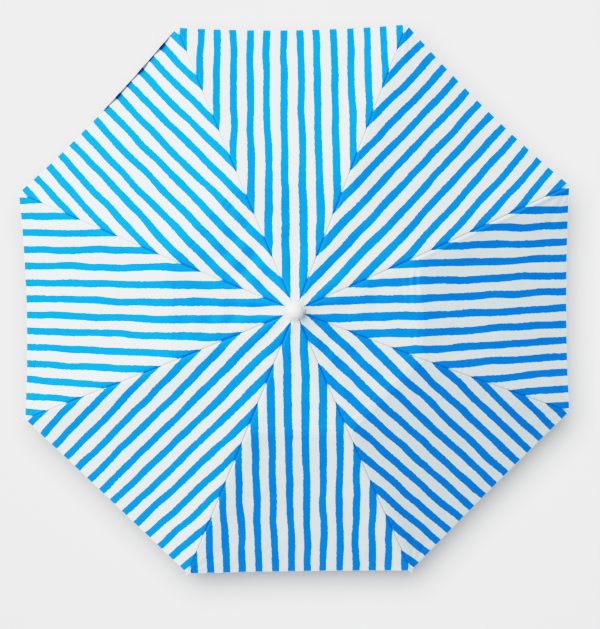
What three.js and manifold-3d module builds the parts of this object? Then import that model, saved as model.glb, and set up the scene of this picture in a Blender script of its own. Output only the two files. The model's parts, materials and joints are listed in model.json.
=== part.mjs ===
// A beach umbrella, open: an octagonal cotton canopy on eight hinged ribs and stretchers, a mast with
// a sliding runner, a tilt joint, and a telescopic pole with a clamp knob and a ground spike.
// Millimetres, +Z up. The origin is the middle of the spike's flat tip. The gores face +X, +Y and
// between them, and the first rib stands half a gore round from +X.

import * as THREE from 'three';
import { mergeVertices } from 'three/addons/utils/BufferGeometryUtils.js';
import Module from 'manifold-3d';

const wasm = await Module();
wasm.setup();

// ---- Driving dimensions ------------------------------------------------------------------------

const RIBS = 8;
const GORE_ANGLE = (2 * Math.PI) / RIBS;
const HALF_GORE = GORE_ANGLE / 2;

const CANOPY_RADIUS = 893; // apex to the cloth's corner, seen from above
const BEND_RADIUS = 390; // where the ribs bend, just outside their joints
const BEND_HALF = 12; // half the radius over which they bend
const CROWN_FALL = 0.167; // fall per millimetre of radius, from the apex to the bend
const SKIRT_FALL = 0.41; // the same, just outside the bend
const SKIRT_CURVE = 1.15e-4; // how the fall then grows, per millimetre squared
const HEM_BOW = 10; // how far each hem curves in at the middle of its gore
const CLOTH = 1.2;
const CLOTH_START = 21; // the cloth's inner edge, under the crown washer
const SECTOR_GAP = 0.2; // half the gap between two canopy sectors

const HINGE_RADIUS = 20; // ring wire of the notch, and the stretchers' ring in the runner
const HINGE_Z = 1900;
const APEX_Z = HINGE_Z + 12;
const RIB_BELOW = 5.5; // from the cloth's top down to the rib's centre line
const RIB_R = 2.5;
const RIB_END = 889; // radius where the rod ends, inside its cap
const RIB_TIP = 901; // radius of the cap's outer end
const CAP_R = 3.4;

const STRETCHER_R = 2.2;
const JOINT_RADIUS = 368; // radius of the rib joints
const JOINT_BELOW = 8; // from the rib's centre line down to the stretcher's pivot
const RUNNER_DROP = 330; // from the ribs' hinges down to the open runner's pivots
const EYE_R = 3.2; // the flattened, pierced ends of ribs and stretchers
const EYE_HOLE_R = 1.35;
const EYE_REACH = 12; // from the eye's centre to where the full rod has begun
const EYE_ARM = 1.6; // half height of the flattened part

const WIRE_R = 1.0;
const CHANNEL_R = 1.4;
const SLOT_FLOOR = 16.4;
const HUB_R = 26;
const NOTCH_SLOT = 1.8; // half width
const RUNNER_SLOT = 2.6; // half width

const POLE_R = 11; // top pole and upper pole
const POLE_BORE_R = 9.8;
const PLUG_R = 9.5;
const LOWER_R = 14;
const LOWER_BORE_R = 12.8;
const LOWER_TOP = 805;
const LOWER_BOTTOM = 170;
const UPPER_BOTTOM = 480;
const TILT_Z = 1370;
const TILT_ROUND = 10.6;
const TILT_STEP = 11.6; // from the pin to the shoulder that clears the rounded ends
const SHOULDER = 8;
const PLUG_LENGTH = 34;
const CHEEK_INNER = 4.0;
const TONGUE_HALF = 3.7;
const PIN_R = 2.5;
const BUTTON_BELOW = 38; // from the tilt pin down to the button
const BUTTON_R = 3;
const BUTTON_OUT = 14; // radius of the button's face
const GAP = 0.3;

const RUNNER_BORE_R = 11.5;
const RUNNER_SLEEVE_R = 17.2;
const RUNNER_LENGTH = 70; // below its pivots
const KEYWAY_R = 15.2;
const KEYWAY_HALF = 3.6;
const CATCH_HALF = 1.5;

const KNOB_Z = 782;
const KNOB_X = 34; // radius where the knob's grip begins
const FINE = 32; // sides of a large round piece
const SMALL = 12; // sides of a small one

// ---- Shapes ------------------------------------------------------------------------------------

/** Height of the cloth's top along a rib, at radius r: a shallow crown, a bend, a steeper skirt. */
function clothHeight(r) {
  const past = r - BEND_RADIUS;
  const bend = Math.min(Math.max(past + BEND_HALF, 0), 2 * BEND_HALF) ** 2 / (4 * BEND_HALF);
  const skirt = (SKIRT_FALL - CROWN_FALL) * (bend + Math.max(past - BEND_HALF, 0));
  return APEX_Z - CROWN_FALL * r - skirt - SKIRT_CURVE * Math.max(past, 0) ** 2;
}

/** A closed geometry as a solid, with its shared vertices merged and its faces turned out. */
function solid(geometry) {
  const bare = geometry.clone();
  bare.deleteAttribute('normal');
  bare.deleteAttribute('uv');
  const merged = mergeVertices(bare, 1e-4);
  const points = merged.attributes.position.array;
  const index = merged.index.array;
  const faces = [];
  for (let i = 0; i < index.length; i += 3) {
    const [a, b, c] = [index[i], index[i + 1], index[i + 2]];
    if (a !== b && b !== c && c !== a) faces.push(a, b, c);
  }
  const corner = (i) => new THREE.Vector3().fromArray(points, 3 * faces[i]);
  let volume = 0;
  for (let i = 0; i < faces.length; i += 3) {
    volume += corner(i).dot(corner(i + 1).cross(corner(i + 2)));
  }
  if (volume < 0) faces.reverse();
  return new wasm.Manifold(
    new wasm.Mesh({
      numProp: 3,
      vertProperties: new Float32Array(points),
      triVerts: new Uint32Array(faces),
    }),
  );
}

/** A turned piece about Z, from [radius, z] points that close on themselves or on the axis. */
function turned(profile, sides = FINE) {
  const closed = profile[0][0] > 0 ? [...profile, profile[0]] : profile;
  const points = closed.map(([r, z]) => new THREE.Vector2(r, z));
  return new THREE.LatheGeometry(points, sides).rotateX(Math.PI / 2);
}

/** A solid round bar about Z between two heights. */
function bar(radius, low, high, sides = FINE) {
  return turned([[0, low], [radius, low], [radius, high], [0, high]], sides);
}

/** A tube about Z between two heights. */
function tube(outer, inner, low, high) {
  return turned([[inner, low], [outer, low], [outer, high], [inner, high]]);
}

/** A box between two corners. */
function block(low, high) {
  const size = high.map((value, i) => value - low[i]);
  const middle = high.map((value, i) => (value + low[i]) / 2);
  return new THREE.BoxGeometry(...size).translate(...middle);
}

/** A circular outline, for the section of a rod. */
function round(radius, sides = 8) {
  const shape = new THREE.Shape();
  for (let i = 0; i < sides; i += 1) {
    const angle = (2 * Math.PI * (i + 0.5)) / sides;
    const x = radius * Math.cos(angle);
    const y = radius * Math.sin(angle);
    if (i === 0) shape.moveTo(x, y);
    else shape.lineTo(x, y);
  }
  shape.closePath();
  return shape;
}

/** A rod along a curve. */
function rod(path, radius, steps, sides = 8) {
  return new THREE.ExtrudeGeometry(round(radius, sides), { steps, extrudePath: path });
}

/** A flat outline in X and Z, with its thickness spread evenly about Y = 0. */
function plate(shape, thickness) {
  const options = { depth: thickness, bevelEnabled: false, curveSegments: 6 };
  return new THREE.ExtrudeGeometry(shape, options).translate(0, 0, -thickness / 2).rotateX(Math.PI / 2);
}

/** The flattened end of a rod: an eye about the origin with its arm along +X. */
function eye(thickness) {
  const lean = Math.asin(EYE_ARM / EYE_R);
  const shape = new THREE.Shape();
  shape.moveTo(EYE_REACH, -EYE_ARM);
  shape.lineTo(EYE_REACH, EYE_ARM);
  shape.absarc(0, 0, EYE_R, lean, 2 * Math.PI - lean, false);
  shape.closePath();
  const hole = new THREE.Path();
  hole.absarc(0, 0, EYE_HOLE_R, 0, 2 * Math.PI, true);
  shape.holes.push(hole);
  return plate(shape, thickness);
}

/** Turns a geometry built along +X about the Y axis, so that it rises by an angle, and moves it. */
function aimed(geometry, rise, x, z) {
  return geometry.rotateY(-rise).translate(x, 0, z);
}

/** One slot's cutter, pointing along +X from the slot's floor, turned to a rib's azimuth. */
function slotCutter(halfWidth, low, high, azimuth) {
  const cutter = block([SLOT_FLOOR, -halfWidth, low], [HUB_R + 4, halfWidth, high]);
  return solid(cutter.rotateZ(azimuth));
}

/** The azimuth of each rib. */
const azimuths = Array.from({ length: RIBS }, (_, i) => HALF_GORE + i * GORE_ANGLE);

// ---- Materials ---------------------------------------------------------------------------------

const finish = (color, roughness, metalness = 0) => ({ color, roughness, metalness });
const WHITE_STEEL = finish(0xe9ebea, 0.42, 0.1);
const BRIGHT_STEEL = finish(0xb9bcc0, 0.32, 0.9);
const WHITE_PLASTIC = finish(0xeff0ee, 0.35);
const BLUE_CLOTH = finish(0x4aa6d8, 0.85);

// ---- The object --------------------------------------------------------------------------------

const umbrella = new THREE.Group();

/** Adds a solid to the umbrella as a named mesh, turned about Z to an azimuth. */
function add(name, body, look, azimuth = 0) {
  const made = body.getMesh();
  const geometry = new THREE.BufferGeometry();
  geometry.setAttribute('position', new THREE.BufferAttribute(made.vertProperties, 3));
  geometry.setIndex(new THREE.BufferAttribute(made.triVerts, 1));
  geometry.computeVertexNormals();
  const mesh = new THREE.Mesh(geometry, new THREE.MeshStandardMaterial(look));
  mesh.name = name;
  mesh.rotation.z = azimuth;
  umbrella.add(mesh);
}

// -- Canopy: one sector on each rib, from the middle of one gore to the middle of the next

/** A point of the cloth's top: along = 0 at the crown to 1 at the hem, across = 0 at the middle of
 * the gore to 1 at the rib, side = 1 or -1 for the gore on either side of the rib. */
function clothPoint(along, across, side) {
  const hem = CANOPY_RADIUS * Math.cos(HALF_GORE) - HEM_BOW * (1 - across * across);
  const start = CLOTH_START * Math.cos(HALF_GORE);
  const out = start + (hem - start) * along;
  const wide = SECTOR_GAP + (out * Math.tan(HALF_GORE) - SECTOR_GAP) * across;
  const turn = side * HALF_GORE;
  const x = out * Math.cos(turn) + wide * Math.sin(turn) * side;
  const y = out * Math.sin(turn) - wide * Math.cos(turn) * side;
  return [x, y, clothHeight(out / Math.cos(HALF_GORE))];
}

const bendRadii = [-1, -0.5, 0, 0.5, 1].map((step) => BEND_RADIUS + step * BEND_HALF);

/** Radii of a sector's rows of points: few where the cloth is straight, more round its bend. */
const rowRadii = [
  CLOTH_START,
  200,
  ...bendRadii,
  500,
  600,
  700,
  800,
  CANOPY_RADIUS,
];
const alongs = rowRadii.map((r) => (r - CLOTH_START) / (CANOPY_RADIUS - CLOTH_START));

function canopySector() {
  const rows = alongs.length - 1;
  const columns = [[0, -1], [0.5, -1], [1, 1], [0.5, 1], [0, 1]];
  const width = columns.length;
  const points = [];
  for (const down of [0, CLOTH]) {
    for (const along of alongs) {
      for (const [across, side] of columns) {
        const [x, y, z] = clothPoint(along, across, side);
        points.push(x, y, z - down);
      }
    }
  }
  const under = (rows + 1) * width;
  const faces = [];
  const quad = (a, b, c, d) => faces.push(a, b, c, a, c, d);
  for (let i = 0; i < rows; i += 1) {
    for (let j = 0; j < width - 1; j += 1) {
      const a = i * width + j;
      quad(a, a + width, a + width + 1, a + 1);
      quad(under + a, under + a + 1, under + a + width + 1, under + a + width);
    }
    const first = i * width;
    const last = first + width - 1;
    quad(first, under + first, under + first + width, first + width);
    quad(last, last + width, under + last + width, under + last);
  }
  for (let j = 0; j < width - 1; j += 1) {
    const hem = rows * width + j;
    quad(j, j + 1, under + j + 1, under + j);
    quad(hem, under + hem, under + hem + 1, hem + 1);
  }
  const geometry = new THREE.BufferGeometry();
  geometry.setAttribute('position', new THREE.Float32BufferAttribute(points, 3));
  geometry.setIndex(faces);
  return solid(geometry);
}

// -- Frame

/** A point on a rib's centre line at radius r, in the rib's own upright plane. */
const onRib = (r) => new THREE.Vector3(r, 0, clothHeight(r) - RIB_BELOW);

/** The slope of a rib's centre line at radius r, as an angle below the horizontal. */
const ribSlope = (r) => Math.atan(clothHeight(r - 0.5) - clothHeight(r + 0.5));

/** The stretcher's upper pivot on the rib joint. */
function pivotOnRib() {
  const slope = ribSlope(JOINT_RADIUS);
  const foot = onRib(JOINT_RADIUS);
  return [foot.x - JOINT_BELOW * Math.sin(slope), foot.z - JOINT_BELOW * Math.cos(slope)];
}

const ROD_START = 11; // from an eye's centre
const LEAD = 60; // over this length the rib comes up from its hinge to the cloth
const ribRadii = [
  HINGE_RADIUS + ROD_START,
  45,
  60,
  80,
  220,
  ...bendRadii,
  470,
  540,
  610,
  680,
  750,
  820,
  RIB_END,
];

/** A rib's centre line, straight between its radii, from its flattened root to its tip. */
class RibLine extends THREE.Curve {
  getPoint(t, target = new THREE.Vector3()) {
    const place = Math.min(Math.max(t, 0), 1) * (ribRadii.length - 1);
    const before = Math.min(Math.floor(place), ribRadii.length - 2);
    const r = THREE.MathUtils.lerp(ribRadii[before], ribRadii[before + 1], place - before);
    const rest = Math.max(1 - (r - HINGE_RADIUS) / LEAD, 0);
    const below = rest * rest * (onRib(HINGE_RADIUS).z - HINGE_Z);
    return target.copy(onRib(r)).setZ(onRib(r).z - below);
  }

  getPointAt(t, target) {
    return this.getPoint(t, target);
  }

  getTangentAt(t, target) {
    return this.getTangent(t, target);
  }
}

function ribBody() {
  const line = new RibLine();
  const begin = line.getPoint(0);
  const rise = Math.atan2(begin.z - HINGE_Z, begin.x - HINGE_RADIUS);
  const spine = rod(line, RIB_R, ribRadii.length - 1);
  return solid(spine).add(solid(aimed(eye(2.6), rise, HINGE_RADIUS, HINGE_Z)));
}

function ribTip() {
  const length = (RIB_TIP - RIB_END) / Math.cos(ribSlope(RIB_END));
  const overlap = 7;
  const cap = turned(
    [
      [RIB_R + GAP, -overlap],
      [CAP_R, -overlap],
      [CAP_R, length - 2.2],
      [CAP_R - 0.9, length - 0.7],
      [CAP_R - 2.2, length],
      [0, length],
      [0, 0.6],
      [RIB_R + GAP, 0.6],
      [RIB_R + GAP, -overlap],
    ].reverse(),
    SMALL,
  );
  const end = onRib(RIB_END);
  return solid(aimed(cap.rotateY(Math.PI / 2), -ribSlope(RIB_END), end.x, end.z));
}

function ribJoint() {
  const half = 8;
  const outer = 3.5;
  const cheek = new THREE.Shape();
  cheek.moveTo(-half + 2, -outer + 1.2);
  cheek.lineTo(-4.6, -JOINT_BELOW);
  cheek.absarc(0, -JOINT_BELOW, 4.6, Math.PI, 2 * Math.PI, false);
  cheek.lineTo(half - 2, -outer + 1.2);
  cheek.closePath();
  const slot = block([-half, -1.6, -20], [half, 1.6, -outer]);
  const wrap = bar(outer, -half, half, SMALL).rotateY(Math.PI / 2);
  const pin = bar(1.0, -3.6, 3.6, 8).rotateX(Math.PI / 2).translate(0, 0, -JOINT_BELOW);
  const bore = bar(RIB_R + GAP, -half - 1, half + 1, SMALL).rotateY(Math.PI / 2);
  const foot = onRib(JOINT_RADIUS);
  const place = (geometry) => solid(aimed(geometry, -ribSlope(JOINT_RADIUS), foot.x, foot.z));
  const cheeks = place(plate(cheek, 6)).subtract(place(slot));
  return cheeks.add(place(wrap)).add(place(pin)).subtract(place(bore));
}

function stretcherBody() {
  const [x, z] = pivotOnRib();
  const low = HINGE_Z - RUNNER_DROP;
  const length = Math.hypot(x - HINGE_RADIUS, z - low);
  const rise = Math.atan2(z - low, x - HINGE_RADIUS);
  const path = new THREE.LineCurve3(
    new THREE.Vector3(ROD_START, 0, 0),
    new THREE.Vector3(length - ROD_START, 0, 0),
  );
  const parts = [rod(path, STRETCHER_R, 1), eye(2.6), eye(2.6).rotateY(Math.PI).translate(length, 0, 0)];
  const [spine, lower, upper] = parts.map((part) => solid(aimed(part, rise, HINGE_RADIUS, low)));
  return spine.add(lower).add(upper);
}

azimuths.forEach((azimuth, i) => {
  const number = i + 1;
  add(`canopy_sector_${number}`, canopySector(), BLUE_CLOTH, azimuth);
  add(`rib_${number}`, ribBody(), WHITE_STEEL, azimuth);
  add(`rib_tip_${number}`, ribTip(), WHITE_PLASTIC, azimuth);
  add(`rib_joint_${number}`, ribJoint(), BRIGHT_STEEL, azimuth);
  add(`stretcher_${number}`, stretcherBody(), WHITE_STEEL, azimuth);
});

// -- Crown: notch, ring wire, washer and finial

const BOSS_TOP = APEX_Z + 0.6;
const STUD_TOP = BOSS_TOP + 16;
const STUD_R = 4;

function topNotch() {
  const body = turned([
    [0, HINGE_Z + 2],
    [POLE_R + GAP, HINGE_Z + 2],
    [POLE_R + GAP, HINGE_Z - 22],
    [SLOT_FLOOR - 1.2, HINGE_Z - 22],
    [SLOT_FLOOR, HINGE_Z - 20],
    [SLOT_FLOOR, HINGE_Z - 4.5],
    [HUB_R - 1, HINGE_Z - 4.5],
    [HUB_R, HINGE_Z - 3.5],
    [HUB_R, HINGE_Z + 4.8],
    [HUB_R - 1.2, HINGE_Z + 6],
    [SLOT_FLOOR, HINGE_Z + 6.6],
    [9, HINGE_Z + 7],
    [9, BOSS_TOP],
    [STUD_R, BOSS_TOP],
    [STUD_R, STUD_TOP],
    [0, STUD_TOP],
  ]);
  const channel = new THREE.TorusGeometry(HINGE_RADIUS, CHANNEL_R, 6, FINE).translate(0, 0, HINGE_Z);
  const slots = azimuths.map((azimuth) => slotCutter(NOTCH_SLOT, HINGE_Z - 6, HINGE_Z + 4, azimuth));
  return slots.reduce((rest, slot) => rest.subtract(slot), solid(body).subtract(solid(channel)));
}

const FLATNESS = 0.86; // of the finial's ball

function finial() {
  const base = BOSS_TOP + 3.3;
  const radius = 24.5;
  const centre = base + 19;
  const first = Math.asin((base - centre) / radius);
  const profile = [
    [0, STUD_TOP + 1],
    [STUD_R + GAP, STUD_TOP + 1],
    [STUD_R + GAP, base],
    [radius * Math.cos(first), base],
  ];
  const bands = 8;
  for (let i = 1; i < bands; i += 1) {
    const angle = first + ((Math.PI / 2 - first) * i) / bands;
    profile.push([radius * Math.cos(angle), centre + FLATNESS * radius * Math.sin(angle)]);
  }
  profile.push([0, centre + FLATNESS * radius]);
  return turned(profile);
}

add('top_notch', topNotch(), WHITE_PLASTIC);
add(
  'notch_ring_wire',
  solid(new THREE.TorusGeometry(HINGE_RADIUS, WIRE_R, 6, FINE).translate(0, 0, HINGE_Z)),
  BRIGHT_STEEL,
);
add(
  'crown_washer',
  solid(
    turned([
      [STUD_R + GAP, BOSS_TOP + 0.3],
      [27, BOSS_TOP + 0.3],
      [27.6, BOSS_TOP + 1.2],
      [26, BOSS_TOP + 2.6],
      [STUD_R + GAP, BOSS_TOP + 3],
    ]),
  ),
  WHITE_PLASTIC,
);
add('finial', solid(finial()), WHITE_PLASTIC);

// -- Runner, open to its ring at eight slots, with a keyway that passes the tilt button

function runner() {
  const pivot = HINGE_Z - RUNNER_DROP;
  const foot = pivot - RUNNER_LENGTH;
  const body = turned([
    [RUNNER_BORE_R, foot],
    [19.6, foot],
    [20.6, foot + 1.2],
    [20.6, foot + 5],
    [19.2, foot + 7],
    [RUNNER_SLEEVE_R, foot + 9],
    [RUNNER_SLEEVE_R, pivot - 12],
    [HUB_R - 2, pivot - 7],
    [HUB_R, pivot - 5.5],
    [HUB_R, pivot + 3.5],
    [HUB_R - 1, pivot + 4.5],
    [RUNNER_SLEEVE_R, pivot + 4.5],
    [RUNNER_SLEEVE_R, pivot + 12],
    [RUNNER_SLEEVE_R - 1.2, pivot + 13.5],
    [RUNNER_BORE_R, pivot + 13.5],
  ]);
  const keyway = block([-KEYWAY_R, -KEYWAY_HALF, foot - 1], [0, KEYWAY_HALF, pivot + 15]);
  const hub = solid(body).subtract(solid(keyway));
  const slots = azimuths.map((azimuth) => slotCutter(RUNNER_SLOT, pivot - 14, pivot + 5.5, azimuth));
  return slots.reduce((rest, slot) => rest.subtract(slot), hub);
}

add('runner', runner(), WHITE_PLASTIC);

// -- Top pole with the runner's catch

const RUNNER_FOOT = HINGE_Z - RUNNER_DROP - RUNNER_LENGTH;
const TOP_POLE_BOTTOM = TILT_Z + TILT_STEP + SHOULDER + GAP;

function topPole() {
  const pipe = solid(tube(POLE_R, POLE_BORE_R, TOP_POLE_BOTTOM, HINGE_Z + 1.7));
  const half = CATCH_HALF + 0.4;
  const slot = block([4, -half, RUNNER_FOOT - 48], [POLE_R + 2, half, RUNNER_FOOT + 1]);
  return pipe.subtract(solid(slot));
}

function catchSpring() {
  const top = RUNNER_FOOT - GAP;
  const shape = new THREE.Shape();
  shape.moveTo(8.2, top - 60);
  shape.lineTo(9.3, top - 60);
  shape.lineTo(9.3, top - 46);
  shape.lineTo(14, top - 6);
  shape.lineTo(14, top);
  shape.lineTo(8.2, top);
  shape.closePath();
  return solid(plate(shape, 2 * CATCH_HALF));
}

add('top_pole', topPole(), WHITE_STEEL);
add('runner_catch', catchSpring(), BRIGHT_STEEL);

// -- Tilt joint: a tongue on the top pole in a fork on the upper pole, with a pin and a button

/** A round bar about the tilt pin, as long as the poles are wide. */
const aboutPin = (radius, half, sides) =>
  solid(bar(radius, -half, half, sides).rotateX(Math.PI / 2).translate(0, 0, TILT_Z));

const pinHole = aboutPin(PIN_R + GAP, 2 * POLE_R, SMALL);
const roundedEnd = aboutPin(TILT_ROUND, 2 * POLE_R, FINE);

function tiltTongue() {
  const plug = turned([
    [0, TILT_Z - 12],
    [POLE_R, TILT_Z - 12],
    [POLE_R, TILT_Z + TILT_STEP + SHOULDER],
    [PLUG_R, TILT_Z + TILT_STEP + SHOULDER],
    [PLUG_R, TILT_Z + TILT_STEP + SHOULDER + PLUG_LENGTH],
    [0, TILT_Z + TILT_STEP + SHOULDER + PLUG_LENGTH],
  ]);
  const wide = 2 * POLE_R;
  const above = TILT_Z + TILT_STEP;
  const slab = (low, high) => solid(block([-wide, -TONGUE_HALF, low], [wide, TONGUE_HALF, high]));
  const shoulder = solid(block([-wide, -wide, above], [wide, wide, above + 60]));
  const blade = slab(TILT_Z, above + 1).add(roundedEnd.intersect(slab(TILT_Z - 12, TILT_Z + 1)));
  return solid(plug).intersect(blade.add(shoulder)).subtract(pinHole);
}

const BUTTON_Z = TILT_Z - BUTTON_BELOW;
const POCKET_R = 4.2;
const POCKET_FLOOR = -1;

/** A bar along X at the tilt button's height. */
const alongButton = (radius, from, to) =>
  solid(bar(radius, from, to, SMALL).rotateY(Math.PI / 2).translate(0, 0, BUTTON_Z));

function tiltFork() {
  const base = TILT_Z - TILT_STEP;
  const plug = turned([
    [0, base - SHOULDER - PLUG_LENGTH],
    [PLUG_R, base - SHOULDER - PLUG_LENGTH],
    [PLUG_R, base - SHOULDER],
    [POLE_R, base - SHOULDER],
    [POLE_R, TILT_Z + 12],
    [0, TILT_Z + 12],
  ]);
  const wide = 2 * POLE_R;
  const ends = roundedEnd.add(solid(block([-wide, -wide, base - 60], [wide, wide, TILT_Z])));
  const slot = solid(block([-wide, -CHEEK_INNER, base], [wide, CHEEK_INNER, TILT_Z + 20]));
  return solid(plug)
    .intersect(ends)
    .subtract(slot)
    .subtract(pinHole)
    .subtract(alongButton(POCKET_R, -wide, POCKET_FLOOR));
}

function tiltButton() {
  const profile = [
    [0, -BUTTON_OUT],
    [BUTTON_R - 0.8, -BUTTON_OUT],
    [BUTTON_R, -BUTTON_OUT + 0.8],
    [BUTTON_R, -8.6],
    [POCKET_R - GAP, -8.6],
    [POCKET_R - GAP, -7.7],
    [0, -7.7],
  ];
  return solid(turned(profile, SMALL).rotateY(Math.PI / 2).translate(0, 0, BUTTON_Z));
}

class Helix extends THREE.Curve {
  getPoint(t, target = new THREE.Vector3()) {
    const turn = 2 * Math.PI * 4 * t;
    return target.set(-7.0 + 5.3 * t, 2.6 * Math.cos(turn), BUTTON_Z + 2.6 * Math.sin(turn));
  }
}

add('tilt_tongue', tiltTongue(), WHITE_PLASTIC);
add('tilt_fork', tiltFork(), WHITE_PLASTIC);
add('tilt_pin', aboutPin(PIN_R, 9.8, SMALL), BRIGHT_STEEL);
add('tilt_button', tiltButton(), WHITE_PLASTIC);
add('tilt_button_spring', solid(rod(new Helix(), 0.35, 44, 5)), BRIGHT_STEEL);

// -- Upper pole, sliding in the lower pole

const UPPER_TOP = TILT_Z - TILT_STEP - SHOULDER - GAP;

const upperPipe = solid(tube(POLE_R, POLE_BORE_R, UPPER_BOTTOM, UPPER_TOP));
add('upper_pole', upperPipe.subtract(alongButton(BUTTON_R + GAP, -2 * POLE_R, 0)), WHITE_STEEL);
add(
  'upper_pole_foot',
  solid(
    turned([
      [0, UPPER_BOTTOM - 14],
      [10.5, UPPER_BOTTOM - 14],
      [LOWER_BORE_R - GAP, UPPER_BOTTOM - 12],
      [LOWER_BORE_R - GAP, UPPER_BOTTOM - GAP],
      [PLUG_R, UPPER_BOTTOM - GAP],
      [PLUG_R, UPPER_BOTTOM + 18],
      [0, UPPER_BOTTOM + 18],
    ]),
  ),
  WHITE_PLASTIC,
);

// -- Lower pole with its collar, height knob and ground spike

const SCREW_R = 3;

/** A bar along +X at the height knob. */
const alongKnob = (radius, from, to) =>
  solid(bar(radius, from, to, SMALL).rotateY(Math.PI / 2).translate(0, 0, KNOB_Z));

function poleCollar() {
  const body = turned([
    [POLE_R + GAP, LOWER_TOP + GAP],
    [POLE_R + GAP, LOWER_TOP + 9],
    [POLE_R + 3, LOWER_TOP + 11],
    [18, LOWER_TOP + 7],
    [18.5, LOWER_TOP + 4],
    [18.5, KNOB_Z - 22],
    [17, KNOB_Z - 25],
    [LOWER_R + GAP, KNOB_Z - 25],
    [LOWER_R + GAP, LOWER_TOP + GAP],
  ]);
  const boss = alongKnob(8.5, 16, 29);
  return solid(body).add(boss).subtract(alongKnob(SCREW_R + GAP, 0, 40));
}

function heightKnob() {
  const hub = turned(
    [
      [0, KNOB_X - 4],
      [7.5, KNOB_X - 4],
      [9, KNOB_X - 2],
      [9, KNOB_X + 10],
      [7, KNOB_X + 13],
      [0, KNOB_X + 13],
    ],
    SMALL,
  );
  const wing = new THREE.Shape();
  wing.moveTo(KNOB_X - 1, 0);
  wing.lineTo(KNOB_X - 1, 8);
  wing.quadraticCurveTo(KNOB_X + 2, 19, KNOB_X + 10, 24);
  wing.quadraticCurveTo(KNOB_X + 17, 23, KNOB_X + 15, 15);
  wing.quadraticCurveTo(KNOB_X + 11, 9, KNOB_X + 11, 0);
  wing.closePath();
  const level = (geometry) => geometry.translate(0, 0, KNOB_Z);
  const wings = [0, Math.PI].map((turn) => solid(level(plate(wing, 5).rotateX(turn))));
  return solid(level(hub.rotateY(Math.PI / 2)))
    .add(wings[0])
    .add(wings[1])
    .add(alongKnob(SCREW_R, POLE_R + GAP, KNOB_X));
}

add('pole_collar', poleCollar(), WHITE_PLASTIC);
add('height_knob', heightKnob(), WHITE_PLASTIC);
const lowerPipe = solid(tube(LOWER_R, LOWER_BORE_R, LOWER_BOTTOM, LOWER_TOP));
add('lower_pole', lowerPipe.subtract(alongKnob(SCREW_R + GAP, 0, 2 * LOWER_R)), WHITE_STEEL);
add(
  'ground_spike',
  solid(
    turned([
      [0, 0],
      [4, 0],
      [9, 60],
      [14, 150],
      [LOWER_R + 1.5, 156],
      [LOWER_R + 1.5, LOWER_BOTTOM - GAP],
      [LOWER_BORE_R - GAP, LOWER_BOTTOM - GAP],
      [LOWER_BORE_R - GAP, LOWER_BOTTOM + 50],
      [0, LOWER_BOTTOM + 50],
    ]),
  ),
  WHITE_PLASTIC,
);

export default umbrella;
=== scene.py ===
"""A beach umbrella seen from above: a striped cotton canopy on eight ribs, with its frame and pole."""

import json
import math

import bpy
import numpy as np
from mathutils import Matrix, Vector

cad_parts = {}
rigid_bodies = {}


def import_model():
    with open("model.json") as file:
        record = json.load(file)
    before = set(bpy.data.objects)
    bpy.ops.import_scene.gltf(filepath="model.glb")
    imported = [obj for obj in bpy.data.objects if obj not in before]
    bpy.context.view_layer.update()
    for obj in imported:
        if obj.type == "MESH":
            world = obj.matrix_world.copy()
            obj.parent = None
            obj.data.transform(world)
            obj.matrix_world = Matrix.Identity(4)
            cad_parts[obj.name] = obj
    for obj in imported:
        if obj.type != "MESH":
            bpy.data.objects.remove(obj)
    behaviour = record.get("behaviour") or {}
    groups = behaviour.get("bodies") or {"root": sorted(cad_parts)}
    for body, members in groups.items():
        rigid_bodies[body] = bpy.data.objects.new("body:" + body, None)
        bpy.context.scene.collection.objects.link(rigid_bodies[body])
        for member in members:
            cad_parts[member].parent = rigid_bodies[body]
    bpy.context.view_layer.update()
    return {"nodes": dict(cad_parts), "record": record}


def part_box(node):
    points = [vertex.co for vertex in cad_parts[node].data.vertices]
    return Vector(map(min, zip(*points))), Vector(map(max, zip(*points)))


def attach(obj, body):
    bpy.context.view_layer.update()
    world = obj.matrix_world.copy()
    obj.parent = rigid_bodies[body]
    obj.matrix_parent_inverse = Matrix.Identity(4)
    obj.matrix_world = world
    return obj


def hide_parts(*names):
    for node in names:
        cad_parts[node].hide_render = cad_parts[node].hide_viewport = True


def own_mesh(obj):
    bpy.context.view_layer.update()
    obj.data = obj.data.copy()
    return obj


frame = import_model()
nodes = frame["nodes"]

# ---- The cloth's shape, in metres, as the CAD part has it ------------------------------------------

RIBS = 8
HALF = math.pi / RIBS
TAN, COS, SIN = math.tan(HALF), math.cos(HALF), math.sin(HALF)
CORNER = 0.893  # radius of the cloth's corners
START = 0.021  # radius of its inner edge, under the crown washer
BEND, BEND_HALF = 0.390, 0.012
CROWN_FALL, SKIRT_FALL, SKIRT_CURVE = 0.167, 0.41, 0.115
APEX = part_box("canopy_sector_1")[1].z + CROWN_FALL * START
CLOTH = 0.0005  # thickness of the cotton
HEM_FOLD = 0.015  # width of the double hem
STITCH = HEM_FOLD - 0.0015  # from the hem's edge to its needle line
GORE_SPACING = 4.0  # between the gores' patterns, along the UV map's second axis
# How far each hem curves in at the middle of its gore: east, north-east and so on round the canopy,
# set to come close to the photograph
HEM_BOW = [0.010, 0.014, 0.013, 0.0135, 0.015, 0.0, 0.003, 0.004]
# How far the cloth stands up beside each rib's seam, and how strongly each gore's crown is slack
SEAM_RISE = np.array([0.0022, 0.0030, 0.0020, 0.0020, 0.0058, 0.0042, 0.0030, 0.0024])
CROWN_SLACK = [0.25, 0.2, 0.45, 1.0, 0.55, 0.35, 0.2, 0.25]
LAPPED_GORE, CURLED_GORE = 0, 3  # the east gore laps over its rib, and the north-west hem curls up
CURL_REACH, CURL_SLOPE = 0.0068, 1.25
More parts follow.
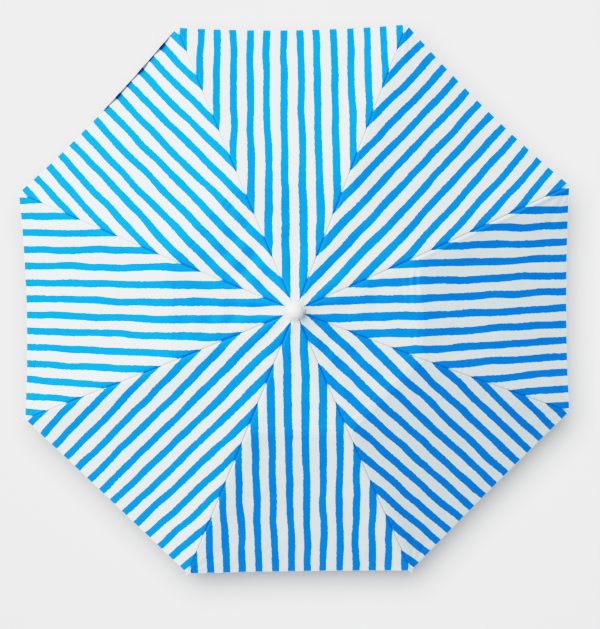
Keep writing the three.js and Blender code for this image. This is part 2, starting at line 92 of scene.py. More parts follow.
# Heights that the sewing and the tension add to the cloth
UNDULATION, DIMPLES, CREASE = 0.0009, 0.00022, 0.0006
SLACK_BAND, SLACK_WAVE, CORNER_FAN = 0.0032, 0.0006, 0.0006


def smooth(x, low, high):
    """0 below low, 1 above high, and an even curve between."""
    t = np.clip((x - low) / (high - low), 0, 1)
    return t * t * (3 - 2 * t)


def bell(x, middle, width):
    return np.exp(-(((x - middle) / width) ** 2))


def ripple(seed, x, y, length, waves=6):
    """Soft irregular waves of about that length and unit size, the same on each run."""
    rng = np.random.default_rng(seed)
    total = np.zeros(np.broadcast(x, y).shape)
    for _ in range(waves):
        angle, phase = rng.uniform(0, 2 * math.pi, 2)
        k = 2 * math.pi / (length * rng.uniform(0.75, 1.5))
        total += np.sin(k * (x * math.cos(angle) + y * math.sin(angle)) + phase)
    return total / math.sqrt(waves)


def rib_height(r):
    """Height of the cloth along a rib: a shallow crown, a bend, and a steeper skirt."""
    past = r - BEND
    bend = np.clip(past + BEND_HALF, 0, 2 * BEND_HALF) ** 2 / (4 * BEND_HALF)
    skirt = (SKIRT_FALL - CROWN_FALL) * (bend + np.maximum(past - BEND_HALF, 0))
    return APEX - CROWN_FALL * r - skirt - SKIRT_CURVE * np.maximum(past, 0) ** 2


def hem_at(gore, v):
    """Distance from the pole to the hem, along a gore's middle line, at a point across it."""
    across = np.abs(v) / (CORNER * SIN)
    return CORNER * COS - HEM_BOW[gore] * (1 - across**2)


def curl_reach(gore, v):
    """How far from its edge the hem curls up: only the north-west gore's does, over part of it."""
    if gore != CURLED_GORE:
        return 0 * v
    along = -v / (CORNER * SIN)
    reach = CURL_REACH * smooth(along, -0.02, 0.1) * (1 - smooth(along, 0.86, 0.95))
    waves = 0.3 * np.sin(v * 2 * math.pi / 0.098 + 0.6)
    return reach * (1 + waves + 0.12 * ripple(150, v, 0 * v, 0.03, 4))


def folds(gore, u, v):
    """What the sewing, the tension and the frame add to the cloth's height at a point of a gore."""
    r = u / COS
    to_rib = np.maximum((u * TAN - np.abs(v)) * COS, 0)
    to_hem = hem_at(gore, v) - u
    rib = np.where(v < 0, gore, gore + 1) % RIBS  # the rib at azimuth 45 * gore -/+ 22.5 degrees
    clear = smooth(to_rib, 0.002, 0.05)
    add = UNDULATION * ripple(10 + gore, u * 0.7, v, 0.16) * clear
    add += DIMPLES * ripple(30 + gore, u, v, 0.05) * clear
    # short creases across the stripes where the cloth turns over the bend
    crease = u - (BEND * COS + 0.006 * ripple(50 + gore, v, 0 * v, 0.2))
    add += CREASE * np.sin(crease * 2 * math.pi / 0.022) * bell(crease, -0.012, 0.022) * (
        0.35 + 0.65 * np.clip(ripple(70 + gore, v, 0 * v, 0.09), 0, 1)
    ) * clear * (1 + 1.5 * bell(to_rib, 0.035, 0.025))
    # bands of slack round the crown
    band = (u + 0.012 * ripple(190 + gore, v, 0.3 * u, 0.12)) * 2 * math.pi / 0.082 + gore
    add += SLACK_BAND * CROWN_SLACK[gore] * np.sin(band) * bell(u, 0.2, 0.11) * clear
    # slack beside the crown
    add += SLACK_WAVE * ripple(90 + gore, u, v * 0.5, 0.075) * bell(u, 0.11, 0.08) * smooth(
        to_rib, 0.001, 0.02
    )
    # tension folds that fan out from each corner
    corner = np.hypot(to_hem, to_rib)
    turn = np.arctan2(to_rib, np.maximum(to_hem, 1e-5))
    fan = np.sin(turn * (9 + rib % 3) + rib * 1.7)
    add += CORNER_FAN * fan * smooth(corner, 0.004, 0.05) * (1 - smooth(corner, 0.07, 0.2)) * smooth(
        to_rib, 0, 0.012
    )
    # sewn seam: a narrow valley with a puckered bead on each side
    pucker = np.zeros(np.broadcast(u, v).shape)
    for index in range(RIBS):
        pucker += np.where(rib == index, ripple(110 + index, r, 0 * r, 0.016, 5), 0)
    add += bell(to_rib, 0.006, 0.005) * (0.00045 + 0.00028 * pucker)
    near = to_rib / 0.022
    rise = SEAM_RISE[rib] * near * np.exp(1 - near) * smooth(np.abs(v), 0, 0.025)
    add += rise * smooth(r, 0.02, 0.07) * (1 - 0.6 * smooth(r, 0.7, 0.88))
    add += bell(to_rib, 0.0, 0.0014) * -0.0010
    # the hem's double layer and its line of stitches
    add += 0.00045 * smooth(HEM_FOLD - to_hem, -0.0006, 0.0006)
    add += bell(to_hem, STITCH, 0.0012) * -0.0004
    add += bell(to_hem, 0.007, 0.006) * 0.00018 * ripple(130 + gore, v, 0 * v, 0.02, 5)
    # the east gore's edge lies over on its first rib, in a raised fold
    if gore == LAPPED_GORE:
        size = smooth(r, 0.33, 0.42) * (0.75 + 0.25 * smooth(r, 0.6, 0.85))
        add += np.where(v > 0, size * 0.0024 * bell(to_rib, 0.009, 0.0065), 0)
    add += CURL_SLOPE * np.maximum(curl_reach(gore, v) - to_hem, 0)
    return add


def cloth_height(gore, u, v):
    return rib_height(u / COS) + folds(gore, u, v)


def cloth_normal(gore, u, v):
    """Upward normals of a gore's top, in the gore's own axes."""
    step = 0.0006
    du = cloth_height(gore, u + step, v) - cloth_height(gore, u - step, v)
    dv = cloth_height(gore, u, v + step) - cloth_height(gore, u, v - step)
    # keep to one side of the seam
    inward = np.where(v > 0, -step, step)
    edge = np.abs(v) + 2 * step > u * TAN
    one_side = (cloth_height(gore, u, v + inward) - cloth_height(gore, u, v)) / inward
    n = np.stack([-du / (2 * step), np.where(edge, -one_side, -dv / (2 * step)), 1 + 0 * u], -1)
    return n / np.linalg.norm(n, axis=-1, keepdims=True)


def axes(azimuth):
    """The level directions out along an azimuth and to its left."""
    return (math.cos(azimuth), math.sin(azimuth)), (-math.sin(azimuth), math.cos(azimuth))


def gore_axes(gore):
    return axes(2 * HALF * gore)


def rib_axes(rib):
    return axes(HALF * (2 * rib + 1))


def place(gore, u, v, z):
    """Points in a gore's axes as points of the umbrella."""
    (ex, ey), (fx, fy) = gore_axes(gore)
    return np.stack([u * ex + v * fx, u * ey + v * fy, z + 0 * u], -1)


# ---- Shaders ---------------------------------------------------------------------------------------


class Shader:
    """A material's node tree, written as short calls that return sockets."""

    def __init__(self, name):
        self.material = bpy.data.materials.new(name)
        self.material.use_nodes = True
        self.tree = self.material.node_tree
        self.bsdf = self.tree.nodes["Principled BSDF"]

    def feed(self, socket, value):
        if isinstance(value, bpy.types.NodeSocket):
            self.tree.links.new(value, socket)
        elif value is not None and socket.type == "RGBA":
            socket.default_value = (*value, 1)
        elif value is not None:
            socket.default_value = value

    def node(self, kind, **settings):
        node = self.tree.nodes.new(kind)
        for key, value in settings.items():
            setattr(node, key, value)
        return node

    def math(self, operation, a, b=None, c=None, clamp=False):
        node = self.node("ShaderNodeMath", operation=operation, use_clamp=clamp)
        for socket, value in zip(node.inputs, (a, b, c)):
            self.feed(socket, value)
        return node.outputs[0]

    def ramp(self, value, low, high, start=0.0, end=1.0, soft=True):
        """value from low..high to start..end."""
        kind = "SMOOTHSTEP" if soft else "LINEAR"
        node = self.node("ShaderNodeMapRange", interpolation_type=kind, clamp=True)
        for socket, number in zip(node.inputs, (value, low, high, start, end)):
            self.feed(socket, number)
        return node.outputs[0]

    def vector(self, x, y, z=0.0):
        node = self.node("ShaderNodeCombineXYZ")
        for socket, value in zip(node.inputs, (x, y, z)):
            self.feed(socket, value)
        return node.outputs[0]

    def stretched(self, x, x_scale, y, y_scale, z=0.0):
        """A point for a noise, scaled differently along its two axes."""
        return self.vector(self.math("MULTIPLY", x, x_scale), self.math("MULTIPLY", y, y_scale), z)

    def noise(self, vector, scale=1.0, detail=2.0, roughness=0.5, dimensions="3D"):
        node = self.node("ShaderNodeTexNoise", noise_dimensions=dimensions)
        self.feed(node.inputs["Vector"], vector)
        node.inputs["Scale"].default_value = scale
        node.inputs["Detail"].default_value = detail
        node.inputs["Roughness"].default_value = roughness
        return node.outputs["Fac"]

    def mix(self, amount, a, b):
        node = self.node("ShaderNodeMix", data_type="RGBA")
        self.feed(node.inputs[0], amount)
        self.feed(node.inputs[6], a)
        self.feed(node.inputs[7], b)
        return node.outputs[2]

    def tint(self, colour, amount):
        """A colour made lighter or darker by a factor."""
        node = self.node("ShaderNodeVectorMath", operation="SCALE")
        self.feed(node.inputs[0], colour)
        self.feed(node.inputs["Scale"], amount)
        return node.outputs[0]

    def uv(self, name):
        node = self.node("ShaderNodeUVMap", uv_map=name)
        split = self.node("ShaderNodeSeparateXYZ")
        self.tree.links.new(node.outputs[0], split.inputs[0])
        return split.outputs[0], split.outputs[1]

    def here(self):
        return self.node("ShaderNodeTexCoord").outputs["Object"]

    def bump(self, height, distance, strength=1.0, below=None):
        node = self.node("ShaderNodeBump")
        node.inputs["Distance"].default_value = distance
        node.inputs["Strength"].default_value = strength
        self.feed(node.inputs["Height"], height)
        self.feed(node.inputs["Normal"], below)
        return node.outputs[0]

    def finish(self, colour=None, roughness=None, normal=None, **constants):
        self.feed(self.bsdf.inputs["Base Color"], colour)
        self.feed(self.bsdf.inputs["Roughness"], roughness)
        self.feed(self.bsdf.inputs["Normal"], normal)
        for key, value in constants.items():
            self.bsdf.inputs[key.replace("_", " ")].default_value = value
        return self.material


STRIPE_PITCH = 0.0492
SWAY, WIDTH_CHANGE, NICK_DEPTH = 0.0135, 0.0056, 0.0070
WEAVE_HEIGHT = 0.00012
HALF_STRIPE = (0.01245, 0.01115)  # half a blue stripe's width, in the crown and in the skirt
WHITE = (0.73, 0.885, 0.90)
BLUE = (0.0004, 0.205, 0.845)


def stripes(s, u, v):
    """1 inside the hand-painted blue stripes, from the cloth's UV map."""
    cell = s.math("MULTIPLY", u, 1 / STRIPE_PITCH)
    whole = s.math("FLOOR", cell)
    local = s.math("SUBTRACT", s.math("SUBTRACT", cell, whole), 0.5)
    right = s.math("GREATER_THAN", local, 0.0)
    side = s.math("MULTIPLY_ADD", right, 2.0, -1.0)
    edge = s.math("MULTIPLY_ADD", whole, 2.0, right)
    sway = s.noise(s.stretched(whole, 7.31, v, 6.5), detail=1.0)
    width = s.noise(s.stretched(edge, 5.17, v, 13.0, 4.0), detail=1.0)
    nicks = s.noise(s.stretched(edge, 3.77, v, 110.0, 9.0), detail=4.0, roughness=0.7)
    offset = s.math("MULTIPLY", s.math("MULTIPLY", s.math("SUBTRACT", sway, 0.5), SWAY), side)
    for noise, size in ((width, WIDTH_CHANGE), (nicks, NICK_DEPTH)):
        offset = s.math("MULTIPLY_ADD", s.math("SUBTRACT", noise, 0.5), size, offset)
    reach = s.math("MULTIPLY", s.math("ABSOLUTE", local), STRIPE_PITCH)
    half = s.ramp(s.math("FLOORED_MODULO", v, GORE_SPACING), 0.30, 0.45, *HALF_STRIPE)
    gap = s.math("SUBTRACT", s.math("SUBTRACT", reach, offset), half)
    return s.ramp(gap, 0.00025, -0.00025), whole


def weave(s, u, v):
    """Height of a plain weave of slightly uneven threads."""
    thread = 2 * math.pi / 0.0009
    slub = s.noise(s.stretched(u, 900.0, v, 60.0), detail=2.0)
    warp = s.math("SINE", s.math("MULTIPLY", u, thread))
    weft = s.math("SINE", s.math("MULTIPLY", v, thread))
    return s.math("MULTIPLY_ADD", s.math("MULTIPLY", warp, weft), 0.5, slub)


def cotton_top():
    s = Shader("canopy_cotton_printed")
    u, v = s.uv("Cloth")
    to_rib, to_hem = s.uv("Edge")
    blue, whole = stripes(s, u, v)
    curl, _ = s.uv("Curl")
    # the print stops just short of the cut edge, and the hem's thread is white
    # mask of the painted shade on the north-west hem's turned-up edge; there the print runs to the edge, so
    # the shade turns its stripe ends navy
    curl_shade = s.ramp(curl, 0.6, 1.6)
    blue = s.math("MULTIPLY", blue, s.math("MAXIMUM", curl_shade, s.ramp(to_hem, -0.0002, 0.0006)))
    fade = s.noise(s.stretched(u, 240.0, v, 22.0, 2.0), detail=3.0, roughness=0.6)
    cloud = s.noise(s.vector(u, v, 7.0), scale=9.0, detail=3.0)
    painted = s.tint(BLUE, s.math("MULTIPLY_ADD", fade, 0.16, s.math("MULTIPLY_ADD", cloud, 0.10, 0.87)))
    bare = s.tint(WHITE, s.math("MULTIPLY_ADD", cloud, 0.03, 0.985))
    colour = s.mix(blue, bare, painted)
    # painted shade in the stitched valley on the rib, in the hem's needle line, and on the north-west hem's
    # turned-up edge, whose face is turned from the key light
    dashes = s.math("SINE", s.math("MULTIPLY", u, 2 * math.pi / 0.0032))
    needle = s.math(
        "MULTIPLY",
        s.ramp(s.math("ABSOLUTE", s.math("SUBTRACT", to_hem, STITCH)), 0.0007, 0.0003),
        s.ramp(dashes, -0.3, 0.3, 0.10, 0.30),
    )
    valley = s.ramp(to_rib, 0.0024, 0.0006, 0.0, 0.55)
    shade = s.math("MAXIMUM", s.math("MAXIMUM", valley, needle), s.math("MULTIPLY", curl_shade, 0.96))
    # painted shade: dark grey over the white, navy over the blue print
    colour = s.mix(shade, colour, s.mix(blue, (0.20, 0.22, 0.24), (0.0, 0.035, 0.11)))
    normal = s.bump(weave(s, u, v), WEAVE_HEIGHT, 0.35)
    return s.finish(colour, 0.82, normal, Specular_IOR_Level=0.03)


def cotton_under():
    """The back of the cloth, where the print only shows through."""
    s = Shader("canopy_cotton_back")
    u, v = s.uv("Cloth")
    blue, _ = stripes(s, u, v)
    cloud = s.noise(s.vector(u, v, 3.0), scale=11.0, detail=3.0)
    through = s.math("MULTIPLY", blue, s.math("MULTIPLY_ADD", cloud, 0.2, 0.52))
    colour = s.mix(through, (0.72, 0.75, 0.77), (0.02, 0.27, 0.66))
    normal = s.bump(weave(s, u, v), WEAVE_HEIGHT, 0.35)
    return s.finish(colour, 0.86, normal, Specular_IOR_Level=0.2, Sheen_Weight=0.12)


def webbing():
    """White cotton tape and the pockets at the ribs' ends."""
    s = Shader("white_cotton_tape")
    u, v = s.uv("Cloth")
    ribs = s.math("SINE", s.math("MULTIPLY", s.math("ADD", u, v), 2 * math.pi / 0.0016))
    other = s.math("SINE", s.math("MULTIPLY", s.math("SUBTRACT", u, v), 2 * math.pi / 0.0016))
    height = s.math("MAXIMUM", ribs, other)
    cloud = s.noise(s.vector(u, v, 1.0), scale=40.0, detail=3.0)
    colour = s.tint((0.80, 0.81, 0.81), s.math("MULTIPLY_ADD", cloud, 0.1, 0.94))
    return s.finish(colour, 0.85, s.bump(height, 0.0002, 0.5), Specular_IOR_Level=0.2)


def powder_coat():
    s = Shader("white_powder_coat")
    peel = s.noise(s.here(), scale=420.0, detail=2.0)
    wear = s.noise(s.here(), scale=14.0, detail=5.0, roughness=0.65)
    colour = s.tint((0.83, 0.84, 0.84), s.math("MULTIPLY_ADD", wear, 0.08, 0.95))
    rough = s.ramp(wear, 0.35, 0.7, 0.34, 0.5)
    return s.finish(colour, rough, s.bump(peel, 0.00012, 0.5), Coat_Weight=0.25, Coat_Roughness=0.2)


def zinc():
    s = Shader("zinc_plated_steel")
    grain = s.noise(s.here(), scale=900.0, detail=3.0)
    tone = s.noise(s.here(), scale=60.0, detail=4.0)
    colour = s.tint((0.66, 0.68, 0.71), s.math("MULTIPLY_ADD", tone, 0.3, 0.85))
    rough = s.ramp(tone, 0.3, 0.7, 0.24, 0.42)
    return s.finish(colour, rough, s.bump(grain, 0.00005, 0.5), Metallic=1.0)


def plastic():
    s = Shader("white_moulded_plastic")
    grain = s.noise(s.here(), scale=1400.0, detail=2.0)
    tone = s.noise(s.here(), scale=25.0, detail=3.0)
    colour = s.tint((0.84, 0.85, 0.84), s.math("MULTIPLY_ADD", tone, 0.06, 0.96))
    rough = s.ramp(tone, 0.3, 0.7, 0.30, 0.42)
    return s.finish(colour, rough, s.bump(grain, 0.00006, 0.4), Subsurface_Weight=0.0)


def gloss():
    s = Shader("white_glossy_plastic")
    tone = s.noise(s.here(), scale=30.0, detail=3.0)
    flow = s.noise(s.here(), scale=90.0, detail=1.0)
    colour = s.tint((0.93, 0.95, 0.95), s.math("MULTIPLY_ADD", tone, 0.03, 0.985))
    rough = s.ramp(tone, 0.3, 0.7, 0.13, 0.2)
    return s.finish(colour, rough, s.bump(flow, 0.00006, 0.25), Coat_Weight=0.5, Coat_Roughness=0.06)


TOP, UNDER, TAPE = cotton_top(), cotton_under(), webbing()
METAL, ZINC, PLASTIC, GLOSS = powder_coat(), zinc(), plastic(), gloss()

# ---- Canopy ----------------------------------------------------------------------------------------


def mesh_object(name, points, faces, uvs, materials, indices, normals=None):
    """A new smooth mesh, with UV maps given for each point."""
    mesh = bpy.data.meshes.new(name)
    mesh.from_pydata(points.tolist(), [], faces)
    loops = np.empty(len(mesh.loops), np.int32)
    mesh.loops.foreach_get("vertex_index", loops)
    for key, values in uvs.items():
        layer = mesh.uv_layers.new(name=key)
        layer.data.foreach_set("uv", values[loops].astype(np.float32).ravel())
    for material in materials:
        mesh.materials.append(material)
    mesh.polygons.foreach_set("material_index", np.asarray(indices, np.int32))
    mesh.polygons.foreach_set("use_smooth", np.ones(len(mesh.polygons), bool))
    mesh.update()
    if normals is not None:
        mesh.normals_split_custom_set_from_vertices(normals.tolist())
    obj = bpy.data.objects.new(name, mesh)
    bpy.context.scene.collection.objects.link(obj)
    return obj


def grid_faces(rows, columns, first=0, flip=False):
    """Quads between rows x columns points, numbered from first."""
    i, j = np.meshgrid(np.arange(rows - 1), np.arange(columns - 1), indexing="ij")
    a = (first + i * columns + j).ravel()
    quads = np.stack([a, a + columns, a + columns + 1, a + 1], 1)
    return quads[:, ::-1] if flip else quads


def rim_faces(rows, columns, under):
    """Quads that join the top grid's outline to the lower grid's."""
    top = [j for j in range(columns)]
    right = [i * columns + columns - 1 for i in range(1, rows)]
    bottom = [(rows - 1) * columns + j for j in range(columns - 2, -1, -1)]
    left = [i * columns for i in range(rows - 2, -1, -1)]
    ring = top + right + bottom + left
    return np.array([[a, b, b + under, a + under] for a, b in zip(ring[:-1], ring[1:])])


# millimetres from the rib at the hem, closer together where the seam is, as shares of half the hem
FROM_RIB = [0, 0.7, 1.5, 2.4, 3.4, 4.6, 6, 7.5, 9.2, 11, 13, 15.5, 18.5, 22, 26, 31, 37, 44, 52, 61]
HALF_HEM = CORNER * SIN * 1000
FROM_RIB = np.array([*FROM_RIB, *np.linspace(71, HALF_HEM, 24)]) / HALF_HEM
# shares of the way from the bend to the hem, from millimetres that are closer together in the hem
TO_HEM = [18, 17, 16, 15.4, 14.8, 14.2, 13.5, 12.5, 11, 9.8, 8.6, 7.4, 6.2, 5.2, 4.2, 3.2, 2.2, 1.2, 0.5, 0]
SKIRT_ROWS = np.append(
    np.linspace(0, 1 - 0.0215 / (CORNER - BEND), 150), 1 - np.array(TO_HEM) / 1000 / (CORNER - BEND)
)
CROWN_ROWS = np.linspace(0, 1, 112)


def cloth_half(name, rib, side, rows, start, end_at):
    """One half of a gore's crown or skirt, from a rib to the gore's middle line, as a closed thin
    sheet: rows of points from start to end_at(across), which are distances from the pole."""
    gore = (rib + (side + 1) // 2) % RIBS
    along, across = np.meshgrid(rows, 1 - FROM_RIB, indexing="ij")
    across = across if side > 0 else across[:, ::-1]
    end = end_at(gore, across)
    u = start + (end - start) * along
    v = -side * u * TAN * across
    shape = u.shape
    top = cloth_height(gore, u, v)
    to_rib = np.maximum((u * TAN - np.abs(v)) * COS, 0)
    to_hem = hem_at(gore, v) - u
    thick = CLOTH + CLOTH * smooth(HEM_FOLD - to_hem, -0.0006, 0.0006)
    thick = thick + CLOTH * (1 - smooth(to_rib, 0.008, 0.0092))
    points = np.concatenate([place(gore, u, v, z).reshape(-1, 3) for z in (top, top - thick)])
    n = cloth_normal(gore, u, v)
    (ex, ey), (fx, fy) = gore_axes(gore)
    turned = np.stack([n[..., 0] * ex + n[..., 1] * fx, n[..., 0] * ey + n[..., 1] * fy, n[..., 2]], -1)
    normals = np.concatenate([turned.reshape(-1, 3), -turned.reshape(-1, 3)])
    count = u.size
    faces = grid_faces(*shape)
    below = grid_faces(*shape, first=count, flip=True)
    rim = rim_faces(*shape, count)
    # the hem is folded under, so its inner side shows the print again
    centre = to_hem[:-1, :-1].ravel() / 2 + to_hem[1:, 1:].ravel() / 2
    back = np.where(centre < HEM_FOLD, 0, 1)
    cloth = np.stack([v.ravel(), u.ravel() + GORE_SPACING * gore], 1)
    edge = np.stack([to_rib.ravel(), to_hem.ravel()], 1)
    curl = np.stack([(curl_reach(gore, v) - to_hem).ravel() * 1000, 0 * u.ravel()], 1)
    obj = mesh_object(
        name,
        points,
        np.concatenate([faces, below, rim]).tolist(),
        {key: np.tile(uv, (2, 1)) for key, uv in (("Cloth", cloth), ("Edge", edge), ("Curl", curl))},
        [TOP, UNDER],
        np.concatenate([np.zeros(len(faces), int), back, np.zeros(len(rim), int)]),
        normals,
    )
    return obj


# How the cloth is meant to fold between the ribs as they close: each half of a gore lies down towards its
# rib, and its middle line turns outwards, near the plane between the two ribs. The seam stays within 3 mm
# of the rib. A known fault: the crown and the skirt turn differently, so when the canopy is closed
# the crease opens by up to 17 mm, and neighbouring halves gap and cross by about 20 mm.
# The turns and shares below are not applied here: pleat() only gives each half its own mesh.
CROWN_TURN, CROWN_KEEP = math.radians(20.2), 0.178
SKIRT_TURN, SKIRT_KEEP = math.radians(23.9), 0.125


def pleat(obj):
    """Gives a half gore its own copy of its mesh; it does not squash it towards its rib."""
    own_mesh(obj)


def bend_line(gore, across):
    """Where each gore's crown ends, for points across it."""
    return BEND * COS + 0 * across


def hem_line(gore, across):
    """Where a gore's skirt ends, for shares of the way across it."""
    return CORNER * COS - HEM_BOW[gore] * (1 - across**2)


crown_slope = math.atan(CROWN_FALL)
skirt_slope = math.atan(float(rib_height(BEND) - rib_height(CORNER)) / (CORNER - BEND))
for rib in range(RIBS):
    for side, word in ((-1, "right"), (1, "left")):
        half = f"{rib + 1}_{word}"
        crown = cloth_half(f"canopy_crown_{half}", rib, side, CROWN_ROWS, START * COS, bend_line)
        skirt = cloth_half(f"canopy_skirt_{half}", rib, side, SKIRT_ROWS, BEND * COS, hem_line)
        for piece, slope, turn, keep in (
            (crown, crown_slope, CROWN_TURN, CROWN_KEEP),
            (skirt, skirt_slope, SKIRT_TURN, SKIRT_KEEP),
        ):
            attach(piece, f"rib_{rib + 1}")
            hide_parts(f"canopy_sector_{rib + 1}")
            pleat(piece)

# ---- Tape, ties and pockets under the ribs -----------------------------------------------------------

RIB_BELOW = 0.0055  # from the cloth's top down to a rib's centre line
TAPE_WIDTH = 0.017
TAPE_SPAN = (0.045, 0.880)  # radii
TAPE_BELOW, TAPE_THICK = 0.0021, 0.0004
POCKET_SPAN, POCKET_RADII = (0.8555, 0.8795), (0.00265, 0.0034)
TIE_PLACES, TIE_REACH, TIE_RADII = (0.22, 0.56, 0.73), 0.0035, (0.00255, 0.0029)
SLEEVE_BULGE = 0.0002


def by_rib(rib, r, d, z):
    """Points given along a rib and to its left as points of the umbrella."""
    (ox, oy), (ax, ay) = rib_axes(rib)
    return np.stack([r * ox + d * ax, r * oy + d * ay, z + 0 * r], -1)


def seam_tape(rib):
    """The woven tape that covers the seam, between the cloth and the rib."""
    bend = np.linspace(BEND - BEND_HALF, BEND + BEND_HALF, 9)
    reach = np.concatenate([np.linspace(TAPE_SPAN[0], 0.37, 40), bend, np.linspace(0.41, TAPE_SPAN[1], 60)])
    r, d = np.meshgrid(reach, np.linspace(-0.5, 0.5, 9) * TAPE_WIDTH, indexing="ij")
    z = rib_height(r + np.abs(d) * TAN) - TAPE_BELOW + 0.00012 * ripple(170 + rib, r, d, 0.03)
    points = np.concatenate([by_rib(rib, r, d, z - down).reshape(-1, 3) for down in (0, TAPE_THICK)])
    faces = [
        grid_faces(*r.shape),
        grid_faces(*r.shape, first=r.size, flip=True),
        rim_faces(*r.shape, r.size),
    ]
    flat = np.stack([d.ravel(), r.ravel()], 1)
    quads = np.concatenate(faces)
    uvs = {"Cloth": np.tile(flat, (2, 1))}
    obj = mesh_object(f"seam_tape_{rib + 1}", points, quads.tolist(), uvs, [TAPE], [0] * len(quads))
    return obj


def sleeve(name, rib, low, high, inner, outer):
    """A short tube round a rib: a tie of thread, or the pocket on its end."""
    steps, sides = 9, 24
    around = np.linspace(0, 2 * math.pi, sides + 1)[:-1]
    r, turn = np.meshgrid(np.linspace(low, high, steps), around, indexing="ij")
    slope = (rib_height(low) - rib_height(high)) / (high - low)
    t = (r - low) / (high - low)
    centre = rib_height(low) - RIB_BELOW - slope * (r - low)
    swell = SLEEVE_BULGE * np.sin(math.pi * t)
    shells = []
    for radius in (outer + swell, inner + 0 * r):
        shells.append(by_rib(rib, r, radius * np.cos(turn), centre + radius * np.sin(turn)).reshape(-1, 3))
    i, j = np.meshgrid(np.arange(steps - 1), np.arange(sides), indexing="ij")
    a, b = (i * sides + j).ravel(), (i * sides + (j + 1) % sides).ravel()
    count = steps * sides
    skin = np.stack([a, a + sides, b + sides, b], 1)
    inside = np.stack([a, b, b + sides, a + sides], 1) + count
    j = np.arange(sides)
    k = (j + 1) % sides
    last = (steps - 1) * sides
    near = np.stack([j, k, k + count, j + count], 1)
    far = np.stack([last + j, last + j + count, last + k + count, last + k], 1)
    quads = np.concatenate([skin, inside, near, far])
    flat = np.stack([(turn * outer).ravel(), r.ravel()], 1)
    uvs = {"Cloth": np.tile(flat, (2, 1))}
    return mesh_object(name, np.concatenate(shells), quads.tolist(), uvs, [TAPE], [0] * len(quads))


for rib in range(RIBS):
    pieces = [seam_tape(rib), sleeve(f"tip_pocket_{rib + 1}", rib, *POCKET_SPAN, *POCKET_RADII)]
    for index, middle in enumerate(TIE_PLACES):
        tie = f"rib_tie_{rib + 1}_{index + 1}"
        pieces.append(sleeve(tie, rib, middle - TIE_REACH, middle + TIE_REACH, *TIE_RADII))
    for piece in pieces:
        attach(piece, f"rib_{rib + 1}")

# ---- Finial and washer -------------------------------------------------------------------------------


def lathe(name, profile, sides=96):
    """A turned piece about the pole's axis from [radius, z] points in millimetres, bottom to top."""
    profile = np.array(profile) / 1000
    turn = np.linspace(0, 2 * math.pi, sides + 1)[:-1]
    rings = [np.stack([r * np.cos(turn), r * np.sin(turn), 0 * turn + z], 1) for r, z in profile]
    points = np.concatenate([*rings, [[0, 0, profile[0, 1]], [0, 0, profile[-1, 1]]]])
    i, j = np.meshgrid(np.arange(len(profile) - 1), np.arange(sides), indexing="ij")
    a, b = (i * sides + j).ravel(), (i * sides + (j + 1) % sides).ravel()
    faces = np.stack([a, b, b + sides, a + sides], 1).tolist()
    low, high, top = len(points) - 2, len(points) - 1, (len(profile) - 1) * sides
    faces += [[low, (k + 1) % sides, k] for k in range(sides)]
    faces += [[high, top + k, top + (k + 1) % sides] for k in range(sides)]
    flat = np.stack([points[:, 0], points[:, 1]], 1)
    obj = mesh_object(name, points, faces, {"Turned": flat}, [GLOSS], [0] * len(faces))
    obj.data.set_sharp_from_angle(angle=math.radians(40))
    return obj


ball_low, ball_high = (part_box("finial")[0].z * 1000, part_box("finial")[1].z * 1000)
BALL_R, BALL_FLATNESS = 23.4, 0.86  # flatter above its middle than a sphere
ball_centre = ball_high - BALL_FLATNESS * BALL_R
ball = [(12.0, ball_low), (12.9, ball_low + 0.1), (13.4, ball_low + 0.5)]
for angle in np.linspace(-math.radians(49), math.pi / 2 - 0.02, 44):
    drop = BALL_FLATNESS if angle > 0 else 1.0
    ball.append((BALL_R * math.cos(angle), ball_centre + drop * BALL_R * math.sin(angle)))
# a fine parting groove runs round the widest part
ball = [(r - 0.28 * math.exp(-(((z - ball_centre) / 0.35) ** 2)), z) for r, z in ball]
finial = lathe("crown_finial", [point for point in ball if point[1] >= ball_low])
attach(finial, "top_pole")
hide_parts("finial")

washer_low, washer_high = (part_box("crown_washer")[0].z * 1000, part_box("crown_washer")[1].z * 1000)
washer_profile = [(4.3, washer_low), (26.9, washer_low), (27.4, washer_low + 0.35)]
washer_profile += [(27.6, washer_low + 0.9), (27.4, washer_low + 1.35), (26.6, washer_low + 2.0)]
washer_profile += [(25.4, washer_low + 2.4), (22.0, washer_high - 0.15), (4.3, washer_high)]
washer = lathe("crown_disc", washer_profile)
washer.data.materials[0] = PLASTIC
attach(washer, "top_pole")
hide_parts("crown_washer")

# ---- The frame's finish ----------------------------------------------------------------------------

LOOKS = {
    "white_steel": METAL,
    "bright_steel": ZINC,
    "white_plastic": PLASTIC,
    "glossy_white": GLOSS,
    "canopy_cloth": TOP,
}
EDGE_ROUND, SMOOTH_BELOW, ROUND_ABOVE = 0.00035, math.radians(38), math.radians(40)
for entry in frame["record"]["subparts"]:
    obj = nodes[entry["node"]]
    obj.data.materials.clear()
    obj.data.materials.append(LOOKS[entry["material_slot"]])
    if entry["material_slot"] != "canopy_cloth":
        obj.data.polygons.foreach_set("use_smooth", np.ones(len(obj.data.polygons), bool))
        obj.data.set_sharp_from_angle(angle=SMOOTH_BELOW)
        round_off = obj.modifiers.new("edges", "BEVEL")
        round_off.width = EDGE_ROUND
        round_off.segments = 2
        round_off.limit_method = "ANGLE"
        round_off.angle_limit = ROUND_ABOVE
        round_off.harden_normals = True

# ---- Camera, light and floor -----------------------------------------------------------------------

camera = bpy.data.objects.new("camera", bpy.data.cameras.new("camera"))
bpy.context.scene.collection.objects.link(camera)
camera.data.lens = 89.25
camera.data.clip_end = 50
camera.location = (0.0155, 0.344, 6.3)
camera.rotation_euler = [math.radians(a) for a in (-4.63, -0.03, -0.79)]
bpy.context.scene.camera = camera

umbrella_only = bpy.data.collections.new("umbrella_only")
floor_only = bpy.data.collections.new("floor_only")


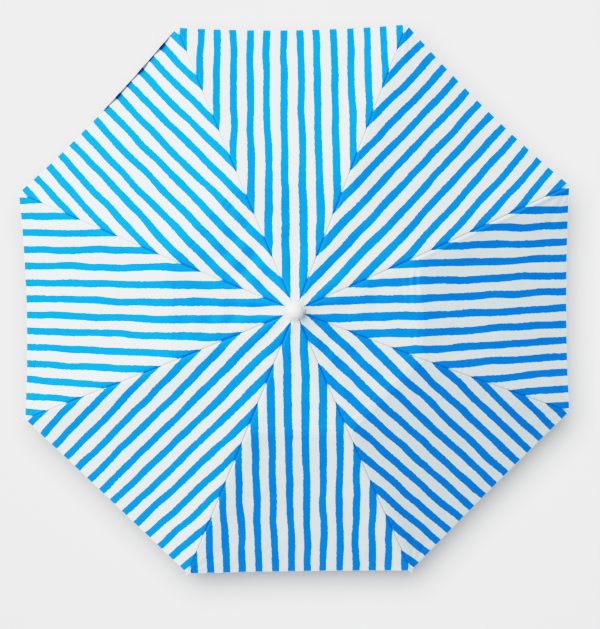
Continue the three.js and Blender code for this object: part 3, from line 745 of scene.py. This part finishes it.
def lamp(name, kind, location, energy, aim, lights, **settings):
    """A light that shines only on the objects of one collection."""
    light = bpy.data.lights.new(name, kind)
    light.energy = energy
    for key, value in settings.items():
        setattr(light, key, value)
    obj = bpy.data.objects.new(name, light)
    obj.location = location
    obj.rotation_euler = (Vector(aim) - Vector(location)).to_track_quat("-Z", "Y").to_euler()
    obj.light_linking.receiver_collection = lights
    bpy.context.scene.collection.objects.link(obj)


# The key grazes the canopy from between west and north-west, and the floor has its own lamp beside
# the camera, whose shadow follows the canopy's outline.
KEY_AZIMUTH, KEY_ZENITH = math.radians(144), math.radians(57)
KEY_STRENGTH, KEY_SPREAD, FLOOR_WATTS = 7.3, math.radians(75), 660
CROWN = Vector((0, 0, 1.8))
key_from = Vector(
    (
        math.sin(KEY_ZENITH) * math.cos(KEY_AZIMUTH),
        math.sin(KEY_ZENITH) * math.sin(KEY_AZIMUTH),
        math.cos(KEY_ZENITH),
    )
)
lamp("key", "SUN", CROWN + 6 * key_from, KEY_STRENGTH, CROWN, umbrella_only, angle=KEY_SPREAD)
beside = Vector((-0.085, 0.145, -0.25))
lamp(
    "floor_lamp",
    "AREA",
    camera.location + beside,
    FLOOR_WATTS,
    (0, 0, 0),
    floor_only,
    shape="DISK",
    size=0.5,
)

world = bpy.data.worlds.new("studio")
world.use_nodes = True
world.node_tree.nodes["Background"].inputs["Color"].default_value = (0.97, 0.985, 1, 1)
world.node_tree.nodes["Background"].inputs["Strength"].default_value = 0.49
bpy.context.scene.world = world

bpy.ops.mesh.primitive_plane_add(size=60, location=(0, 0, 0))
floor = bpy.context.object
floor.name = "floor"
paper = Shader("floor_paper")
mottle = paper.noise(paper.here(), scale=1.5, detail=2.0)
floor.data.materials.append(
    paper.finish(paper.tint((0.80, 0.80, 0.80), paper.math("MULTIPLY_ADD", mottle, 0.02, 0.99)), 0.9)
)
floor_only.objects.link(floor)
for obj in bpy.context.scene.objects:
    if obj.type == "MESH" and obj is not floor:
        umbrella_only.objects.link(obj)

# ---- Tones -----------------------------------------------------------------------------------------

view = bpy.context.scene.view_settings
view.view_transform = "Standard"
view.look = "None"
view.use_curve_mapping = True

# The tone curve: straight up to the shoulder, then easing over, set to come close to the photograph
WHITE_LEVEL = 2.3
SHOULDER_START, SHOULDER_DEPTH, SHOULDER_SOFTNESS, SHOULDER_SLOPE = 0.5, 0.30, 0.38, 0.058
SHOULDER_STEPS = 23


def shoulder(light):
    """Display value of a light level."""
    past = max(light - SHOULDER_START, 0)
    eased = SHOULDER_DEPTH * (1 - math.exp(-past / SHOULDER_SOFTNESS))
    return min(light, SHOULDER_START) + eased + SHOULDER_SLOPE * past


curve = view.curve_mapping
curve.white_level = (WHITE_LEVEL,) * 3
points = curve.curves[3].points
for step in range(1, SHOULDER_STEPS):
    light = WHITE_LEVEL * step / SHOULDER_STEPS
    points.new(light / WHITE_LEVEL, shoulder(light))
points[len(points) - 1].location = (1, shoulder(WHITE_LEVEL))
for point in points:
    point.handle_type = "AUTO_CLAMPED"
curve.update()
